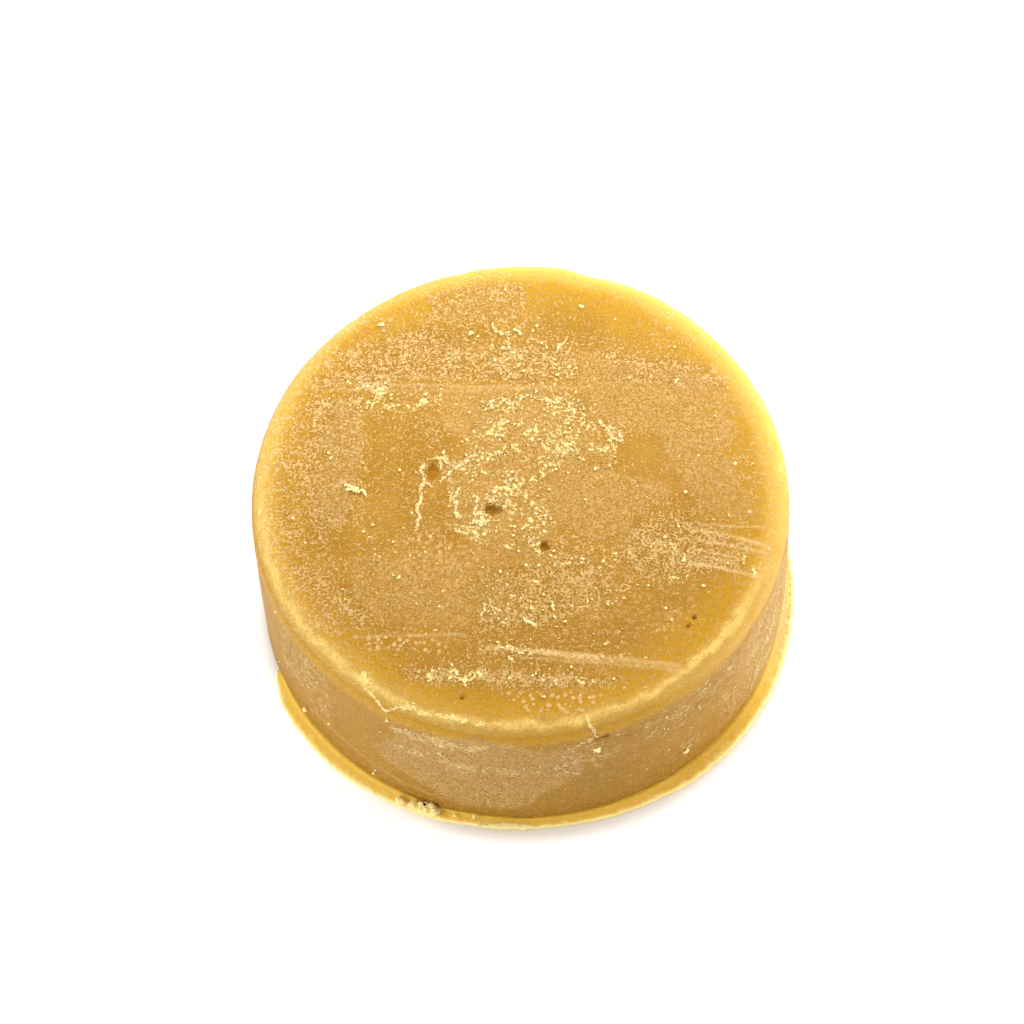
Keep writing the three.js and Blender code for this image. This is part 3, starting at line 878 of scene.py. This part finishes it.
def scattered_granules():
    """Small dry grains stuck to the top face and the wall, all in one mesh."""
    random = np.random.default_rng(5)
    ball, faces = sphere_points(1)
    faces = np.array(faces)
    top = random.uniform(-31.0, 31.0, size=(GRANULES * 14, 2))
    chance = patches(top[:, 0], top[:, 1], CLUMP_PATCHES, 2.0) + 0.10
    chance *= 1.0 - 0.7 * patches(top[:, 0], top[:, 1], BARE_PATCHES, 0.4)
    for (x, y), half, depth, turn in TOP_PITS:
        chance *= np.hypot(top[:, 0] - x, top[:, 1] - y) > max(half) + 0.4
    chance *= np.hypot(top[:, 0], top[:, 1]) < 31.0
    chosen = top[random.random(len(top)) < chance * 0.5][:GRANULES]
    centres = [(x, y, HEIGHT + 0.05) for x, y in chosen]
    normals = [(0.0, 0.0, 1.0)] * len(centres)

    angles = random.uniform(200, 350, WALL_GRANULES * 12)
    heights = random.uniform(3, 24, WALL_GRANULES * 12)
    chance = patches(angles, heights, WALL_CLUMPS, 2.0) + 0.08
    chosen = random.random(len(angles)) < chance * 0.5
    for angle, height in list(zip(angles[chosen], heights[chosen]))[:WALL_GRANULES]:
        radius = BASE_RADIUS - (BASE_RADIUS - TOP_RADIUS) * height / HEIGHT
        centres.append(around(angle, radius, height))
        normals.append(around(angle, 1.0, 0.0))

    points = []
    triangles = []
    for number, (centre, normal) in enumerate(zip(centres, normals)):
        size = 0.08 + 0.12 * random.random() ** 2
        stretch = random.uniform(0.6, 1.6, 3) * size
        spin = Matrix.Rotation(random.uniform(0, 2 * math.pi), 3, Vector(random.normal(size=3)).normalized())
        grain = ball * random.uniform(0.6, 1.25, (len(ball), 1)) * stretch
        grain = grain @ np.array(spin).T
        points.append(grain + np.array(centre) + np.array(normal) * size * 0.35)
        triangles.append(faces + number * len(ball))
    return make_mesh("dry_granules", np.concatenate(points), np.concatenate(triangles).tolist())


# ================================================================ materials

class Shade:
    """Short names for the nodes of one material."""

    def __init__(self, name):
        self.material = bpy.data.materials.new(name)
        self.material.use_nodes = True
        self.tree = self.material.node_tree
        self.surface = self.tree.nodes["Principled BSDF"]
        self.place = self.flattened(1.7)

    def flattened(self, amount):
        """Places on the piece, squeezed in height so that patterns lie level on the wall."""
        squeeze = self.tree.nodes.new("ShaderNodeMapping")
        squeeze.inputs["Scale"].default_value = (1.0, 1.0, amount)
        place = self.tree.nodes.new("ShaderNodeTexCoord").outputs["Object"]
        self.tree.links.new(place, squeeze.inputs["Vector"])
        return squeeze.outputs["Vector"]

    def put(self, socket, value):
        """Links an output, or sets a plain value."""
        if isinstance(value, bpy.types.NodeSocket):
            self.tree.links.new(value, socket)
        else:
            socket.default_value = value

    def give(self, name, value):
        """Sets one property of the surface."""
        self.put(self.surface.inputs[name], value)

    def marks(self, name):
        """Three strengths stored on the mesh."""
        reader = self.tree.nodes.new("ShaderNodeAttribute")
        reader.attribute_name = name
        split = self.tree.nodes.new("ShaderNodeSeparateXYZ")
        self.tree.links.new(reader.outputs["Vector"], split.inputs[0])
        return split.outputs

    def noise(self, size, detail=2.0, roughness=0.55, distortion=0.0, place=None):
        """Noise from 0 to 1 with lumps of this size in mm."""
        node = self.tree.nodes.new("ShaderNodeTexNoise")
        self.tree.links.new(place or self.place, node.inputs["Vector"])
        node.inputs["Scale"].default_value = 1.0 / (size * MM)
        node.inputs["Detail"].default_value = detail
        node.inputs["Roughness"].default_value = roughness
        node.inputs["Distortion"].default_value = distortion
        return node.outputs["Fac"]

    def cells(self, size):
        """Distance to scattered cell centres this far apart in mm."""
        node = self.tree.nodes.new("ShaderNodeTexVoronoi")
        self.tree.links.new(self.place, node.inputs["Vector"])
        node.inputs["Scale"].default_value = 1.0 / (size * MM)
        return node.outputs["Distance"]

    def math(self, operation, first, second=0.0):
        """One sum, said by its node's name."""
        node = self.tree.nodes.new("ShaderNodeMath")
        node.operation = operation
        self.put(node.inputs[0], first)
        self.put(node.inputs[1], second)
        return node.outputs[0]

    def plus(self, first, second):
        return self.math("ADD", first, second)

    def times(self, first, second):
        return self.math("MULTIPLY", first, second)

    def highest(self, first, second):
        return self.math("MAXIMUM", first, second)

    def step(self, value, low, high, start=0.0, end=1.0):
        """Smooth change from start at low to end at high."""
        node = self.tree.nodes.new("ShaderNodeMapRange")
        node.interpolation_type = "SMOOTHSTEP"
        self.put(node.inputs["Value"], value)
        self.put(node.inputs["From Min"], low)
        self.put(node.inputs["From Max"], high)
        self.put(node.inputs["To Min"], start)
        self.put(node.inputs["To Max"], end)
        return node.outputs["Result"]

    def mix(self, share, first, second):
        """First colour at share 0, second at share 1."""
        node = self.tree.nodes.new("ShaderNodeMix")
        node.data_type = "RGBA"
        self.put(node.inputs[0], share)
        self.put(node.inputs[6], first)
        self.put(node.inputs[7], second)
        return node.outputs[2]

    def bump(self, height, depth):
        """Fine relief: height from 0 to 1 stands for this depth in mm."""
        node = self.tree.nodes.new("ShaderNodeBump")
        node.inputs["Strength"].default_value = 1.0
        node.inputs["Distance"].default_value = depth * MM
        self.put(node.inputs["Height"], height)
        self.give("Normal", node.outputs["Normal"])


def glow(shade, weight, reach, shares):
    """Light travels inside the soap: this far in mm, with its share in red, green and blue."""
    shade.give("Subsurface Weight", weight)
    shade.give("Subsurface Radius", shares)
    shade.give("Subsurface Scale", reach * MM)
    shade.give("IOR", 1.45)
    shade.give("Specular IOR Level", 0.12)


def soap_and_painted_light(shade, mottle, gold_and_rim_glow, painted_rim_glow, painted_wall_shade):
    """The soap itself, golden towards the rim partly as painted glow, with painted glow on the rim and
    painted shade down the wall.
    """
    tone = shade.noise(9.0, 3.0)
    bare = shade.mix(shade.step(tone, 0.35, 0.65), colour(200, 144, 20), colour(218, 160, 38))
    bare = shade.mix(shade.step(mottle, 0.42, 0.65, 0.0, 0.5), bare, colour(236, 184, 74))
    golden = shade.mix(shade.step(mottle, 0.35, 0.7), colour(238, 174, 2), colour(252, 194, 18))
    # Golden band towards the rim, partly painted glow
    base = shade.mix(gold_and_rim_glow, bare, golden)
    # Painted shade down the wall and at its foot
    base = shade.mix(shade.times(painted_wall_shade, 0.85), base, colour(188, 132, 8))
    # Painted rim glow: pale bright yellows where light would shine through the edge
    painted_rim_light = shade.mix(shade.step(painted_rim_glow, 0.62, 0.86), colour(270, 216, 92), colour(280, 238, 102))
    painted_rim_light = shade.mix(shade.step(painted_rim_glow, 0.86, 1.0), painted_rim_light, colour(288, 268, 154))
    return shade.mix(shade.step(painted_rim_glow, 0.0, 0.62), base, painted_rim_light)


def film_layer(shade, base, film, wall):
    """Flat peach film broken by fine pores, which are deeper on the wall."""
    pores = shade.noise(0.30, 2.0, 0.55)
    share = shade.times(film, shade.step(pores, 0.40, 0.54, 0.10, 0.95))
    peach = shade.mix(shade.step(pores, 0.5, 0.66), colour(236, 182, 90), colour(260, 214, 138))
    base = shade.mix(share, base, peach)
    on_wall = shade.times(film, wall)
    sunk = shade.times(on_wall, shade.step(pores, 0.47, 0.38))
    base = shade.mix(shade.times(sunk, 0.7), base, colour(176, 118, 30))
    raised = shade.times(on_wall, shade.step(pores, 0.48, 0.56))
    base = shade.mix(shade.times(raised, 0.6), base, colour(270, 222, 150))
    return base, share


def worm_layer(shade, base, winding, worm, painted_rim_glow):
    """Short winding blobs of bloom, gathered in drifts, with painted shade next to them."""
    drift = shade.noise(2.2, 3.0, 0.6)
    reach = shade.times(worm, shade.step(drift, 0.34, 0.62, 0.6, 1.15))
    level = shade.plus(winding, shade.times(reach, 0.17))
    share = shade.times(shade.step(level, 0.58, 0.66), 0.88)
    # Painted shade next to the raised worms, left off under the painted rim glow
    painted_shade_by_worms = shade.times(shade.step(level, 0.40, 0.57), shade.step(worm, 0.3, 0.8, 0.0, 0.5))
    painted_shade_by_worms = shade.times(painted_shade_by_worms, shade.step(painted_rim_glow, 0.0, 0.4, 1.0, 0.0))
    base = shade.mix(painted_shade_by_worms, base, colour(176, 122, 24))
    tint = shade.mix(shade.step(level, 0.64, 0.80), colour(244, 192, 106), colour(268, 226, 158))
    # Worms are paler under the painted rim glow
    tint = shade.mix(shade.step(painted_rim_glow, 0.1, 0.6), tint, colour(292, 250, 164))
    return shade.mix(share, base, tint), share


def grain_layer(shade, base, clump, dots):
    """Pale grains, thickest where they gather, and clusters of round dots."""
    grains = shade.noise(0.48, 2.0, 0.6, 0.5)
    level = shade.plus(grains, shade.times(clump, 0.19))
    share = shade.step(level, 0.67, 0.72)
    tint = shade.mix(shade.step(level, 0.70, 0.80), colour(264, 220, 130), colour(298, 266, 182))
    base = shade.mix(share, base, tint)
    dot = shade.times(dots, shade.step(shade.cells(0.78), 0.45, 0.33))
    base = shade.mix(shade.times(dot, 0.85), base, colour(262, 214, 140))
    return base, share, dot


def dash_layer(shade, base, clump, wall):
    """Fine level dashes and furrows on the wall."""
    dashes = shade.noise(0.8, 3.0, 0.65, 0.3, shade.flattened(3.2))
    level = shade.plus(dashes, shade.times(clump, 0.15))
    share = shade.times(wall, shade.step(level, 0.57, 0.66, 0.0, 0.6))
    tint = shade.mix(shade.step(level, 0.64, 0.74), colour(250, 198, 124), colour(296, 252, 182))
    base = shade.mix(share, base, tint)
    furrow = shade.times(wall, shade.step(dashes, 0.45, 0.36, 0.0, 0.24))
    return shade.mix(furrow, base, colour(186, 124, 16))


def crust_layer(shade, base, broken, crust, painted_rim_glow):
    """Raised cream crust with painted shade in the crevices next to it, except under the painted rim glow."""
    level = shade.plus(crust, shade.times(broken, 1.6))
    share = shade.step(level, 1.20, 1.42)
    # Painted shade in the crevices next to the crust
    painted_crevice_shade = shade.times(shade.step(level, 0.98, 1.12), shade.step(crust, 0.05, 0.25, 0.0, 0.6))
    painted_crevice_shade = shade.times(painted_crevice_shade, shade.step(painted_rim_glow, 0.0, 0.2, 1.0, 0.0))
    base = shade.mix(painted_crevice_shade, base, colour(186, 126, 14))
    cream = shade.mix(shade.step(broken, 0.42, 0.62), colour(262, 214, 130), colour(306, 276, 206))
    # Cream is paler under the painted rim glow
    cream = shade.mix(shade.step(painted_rim_glow, 0.1, 0.5), cream, colour(304, 268, 166))
    return shade.mix(share, base, cream), share


def skin_material():
    """Cast soap under its dried bloom, layer by layer."""
    shade = Shade("bloomed_cast_soap")
    film, worm, crust = shade.marks("bloom")
    streak, hole, clump = shade.marks("marks")
    gold_and_rim_glow, painted_rim_glow, painted_wall_shade = shade.marks("tones_and_painted_light")
    dots, away, wall = shade.marks("spots_and_front_shade")
    frost_and_highlight = shade.marks("frost_and_highlight")[0]
    mottle = shade.noise(0.34, 2.0, 0.6)
    broken = shade.noise(0.34, 2.0, 0.65)
    ridge = shade.math("ABSOLUTE", shade.math("SUBTRACT", shade.noise(0.50, 1.0, 0.5, 0.4), 0.5))
    winding = shade.times(shade.noise(0.29, 1.0, 0.5, 0.5), 0.55)
    winding = shade.plus(winding, shade.step(ridge, 0.0, 0.14, 0.36, 0.12))

    base = soap_and_painted_light(shade, mottle, gold_and_rim_glow, painted_rim_glow, painted_wall_shade)
    base, film_share = film_layer(shade, base, film, wall)
    base, worm_share = worm_layer(shade, base, winding, worm, painted_rim_glow)
    # Painted shade on the front of the top, which lies away from the light
    base = shade.mix(shade.times(away, 0.31), base, colour(150, 100, 16))
    base, grain_share, dot_share = grain_layer(shade, base, clump, dots)
    base = dash_layer(shade, base, clump, wall)
    rubbed = shade.times(streak, shade.step(winding, 0.35, 0.55, 0.45, 1.0))
    base = shade.mix(rubbed, base, colour(262, 220, 150))
    # Pale stipple along the rim: partly real bloom, partly painted highlight
    frosted_and_highlit = shade.times(frost_and_highlight, shade.step(broken, 0.36, 0.55, 0.30, 1.0))
    base = shade.mix(frosted_and_highlit, base, colour(300, 256, 148))
    base, crust_share = crust_layer(shade, base, broken, crust, painted_rim_glow)
    base = shade.mix(shade.step(hole, 0.2, 0.8, 0.0, 0.75), base, colour(216, 144, 10))
    shade.give("Base Color", base)

    dry = shade.highest(shade.highest(worm_share, grain_share), crust_share)
    dry = shade.highest(dry, shade.times(film_share, 0.8))
    rough = shade.plus(shade.times(dry, 0.35), shade.step(mottle, 0.2, 0.8, 0.42, 0.54))
    shade.give("Roughness", rough)

    height = shade.times(worm_share, 0.5)
    for share, rise in ((film_share, 0.35), (crust_share, 0.7), (grain_share, 0.7), (mottle, 0.25),
                        (dot_share, 0.5)):
        height = shade.plus(height, shade.times(share, rise))
    shade.bump(height, 0.16)
    glow(shade, shade.step(dry, 0.0, 0.8, 0.4, 0.04), 3.0, (1.0, 0.48, 0.12))
    return shade.material


def lip_material():
    """Thin soap, made bright partly as painted glow of light through it, with painted shade where it meets
    the wall, paler at its edge and dusty where it creeps up the wall.
    """
    shade = Shade("thin_lip_soap")
    thin, pale, crust = shade.marks("bloom")
    grain = shade.noise(0.5, 3.0, 0.6)
    # Warm yellows raised in brightness: partly painted glow of light through the thin soap
    warm = shade.mix(shade.noise(3.0, 2.0), colour(272, 216, 76), colour(286, 234, 104))
    base = shade.mix(shade.times(pale, 0.6), warm, colour(314, 264, 120))
    # Painted shade in the crease where the lip meets the wall
    base = shade.mix(shade.step(thin, 0.12, 0.30, 0.85, 0.0), base, colour(208, 148, 6))
    dusty = shade.mix(shade.step(grain, 0.40, 0.56), colour(232, 168, 86), colour(266, 212, 146))
    base = shade.mix(shade.times(shade.marks("flare")[0], 0.8), base, dusty)
    base = shade.mix(shade.step(thin, 0.72, 0.97, 0.0, 0.95), base, colour(316, 292, 200))
    base = shade.mix(shade.times(shade.step(grain, 0.5, 0.7), 0.3), base, colour(304, 266, 156))
    base = shade.mix(shade.times(crust, 0.6), base, colour(310, 280, 200))
    shade.give("Base Color", base)
    shade.give("Roughness", shade.step(grain, 0.3, 0.7, 0.42, 0.62))
    shade.bump(shade.plus(shade.times(grain, 0.6), shade.times(crust, 0.4)), 0.10)
    glow(shade, 0.4, 0.8, (1.0, 0.55, 0.2))
    return shade.material


def dry_material(name, glow_share):
    """Dry cream soap of the crumbs, with dirt where a crumb is marked for it."""
    shade = Shade(name)
    grain = shade.noise(0.30, 3.0, 0.6)
    tint = shade.mix(shade.noise(0.8, 2.0), colour(308, 276, 176), colour(316, 298, 224))
    base = shade.mix(shade.step(grain, 0.42, 0.30, 0.0, 0.4), tint, colour(296, 246, 130))
    base = shade.mix(shade.marks("dirt")[0], base, colour(30, 24, 18))
    shade.give("Base Color", base)
    shade.give("Roughness", shade.step(grain, 0.3, 0.7, 0.7, 0.9))
    shade.bump(grain, 0.06)
    glow(shade, glow_share, 0.5, (1.0, 0.8, 0.5))
    return shade.material


def floor_material():
    """Pale matt floor with a soft glow that fades out near the puck's foot, painting a contact shadow there.
    """
    shade = Shade("pale_floor")
    tint = shade.mix(shade.noise(40.0, 2.0), (0.74, 0.70, 0.67, 1.0), (0.76, 0.72, 0.69, 1.0))
    shade.give("Base Color", tint)
    shade.give("Roughness", 0.8)
    shade.give("Emission Color", (1.0, 1.0, 1.0, 1.0))
    out = shade.tree.nodes.new("ShaderNodeVectorMath")
    out.operation = "DISTANCE"
    shade.put(out.inputs[0], shade.place)
    shade.put(out.inputs[1], (PAINTED_SHADOW_CENTRE[0] * MM, PAINTED_SHADOW_CENTRE[1] * MM, 0.0))
    # No glow near the puck: a painted contact shadow
    glowing = shade.step(out.outputs["Value"], PAINTED_SHADOW_RADIUS * MM, GLOW_RADIUS * MM, 0.0, FLOOR_GLOW)
    shade.give("Emission Strength", glowing)
    return shade.material


def paint(piece, material):
    """Gives the piece this one material."""
    piece.data.materials.clear()
    piece.data.materials.append(material)


# ================================================================ scene

def add_floor():
    """Pale level floor that isn't part of the puck."""
    points = [(x * FLOOR_REACH, y * FLOOR_REACH, 0.0) for x, y in ((-1, -1), (1, -1), (1, 1), (-1, 1))]
    floor = make_mesh("floor", points, [(0, 1, 2), (0, 2, 3)])
    paint(floor, floor_material())


def add_light(name, azimuth, elevation, distance, size, power, tint):
    """A square softbox that faces the puck from this direction."""
    data = bpy.data.lights.new(name, "AREA")
    data.shape = "SQUARE"
    data.size = size * MM
    data.energy = power
    data.color = tint
    light = bpy.data.objects.new(name, data)
    a, e = math.radians(azimuth), math.radians(elevation)
    direction = Vector((math.cos(a) * math.cos(e), math.sin(a) * math.cos(e), math.sin(e)))
    light.location = direction * distance * MM
    light.rotation_euler = direction.to_track_quat("Z", "Y").to_euler()
    bpy.context.scene.collection.objects.link(light)


def add_camera():
    """Camera high above the front, rolled a little to one side."""
    data = bpy.data.cameras.new("camera")
    data.lens = CAMERA_LENS
    data.sensor_width = SENSOR
    data.clip_start = 0.01
    camera = bpy.data.objects.new("camera", data)
    tilt = math.radians(CAMERA_ELEVATION)
    place = Vector((0.0, -math.cos(tilt), math.sin(tilt))) * CAMERA_DISTANCE * MM
    back = (place - Vector(CAMERA_AIM) * MM).normalized()
    level = Vector((0.0, 0.0, 1.0)).cross(back).normalized()
    up = back.cross(level)
    roll = math.radians(CAMERA_ROLL)
    right = level * math.cos(roll) - up * math.sin(roll)
    axes = Matrix((right, back.cross(right), back)).transposed().to_4x4()
    camera.matrix_world = Matrix.Translation(place) @ axes
    bpy.context.scene.collection.objects.link(camera)
    bpy.context.scene.camera = camera


def add_world():
    """Soft even light from all round."""
    world = bpy.data.worlds.new("studio")
    world.use_nodes = True
    background = world.node_tree.nodes["Background"]
    background.inputs["Color"].default_value = WORLD_TINT
    background.inputs["Strength"].default_value = WORLD_STRENGTH
    bpy.context.scene.world = world


def main():
    """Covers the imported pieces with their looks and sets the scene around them."""
    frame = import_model()
    bpy.context.scene.view_settings.view_transform = "Standard"

    skin = body_skin()
    paint(skin, skin_material())
    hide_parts("soap_body")
    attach(skin, "root")

    lip = base_lip()
    paint(lip, lip_material())
    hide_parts("base_lip")
    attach(lip, "root")

    dry = dry_material("dry_cream_soap", 0.5)
    dust = dry_material("dry_soap_grains", 0.0)
    replaced = {"soap_body", "base_lip", "lip_peel"}
    peel = lip_peel()
    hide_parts("lip_peel")
    loose = [peel]
    for node, *facts in CRUMBS:
        crumb = crumb_cluster(node + "_skin", *facts)
        give_marks(crumb, "dirt", dirt_marks(crumb))
        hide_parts(node)
        replaced.add(node)
        loose.append(crumb)
    for piece in loose:
        paint(piece, dry)
    granules = scattered_granules()
    paint(granules, dust)
    for piece in loose + [granules]:
        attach(piece, "root")
    for node, piece in frame["nodes"].items():
        if node not in replaced:
            paint(piece, dry)

    add_floor()
    add_world()
    for light in LIGHTS:
        add_light(*light)
    add_camera()


main()
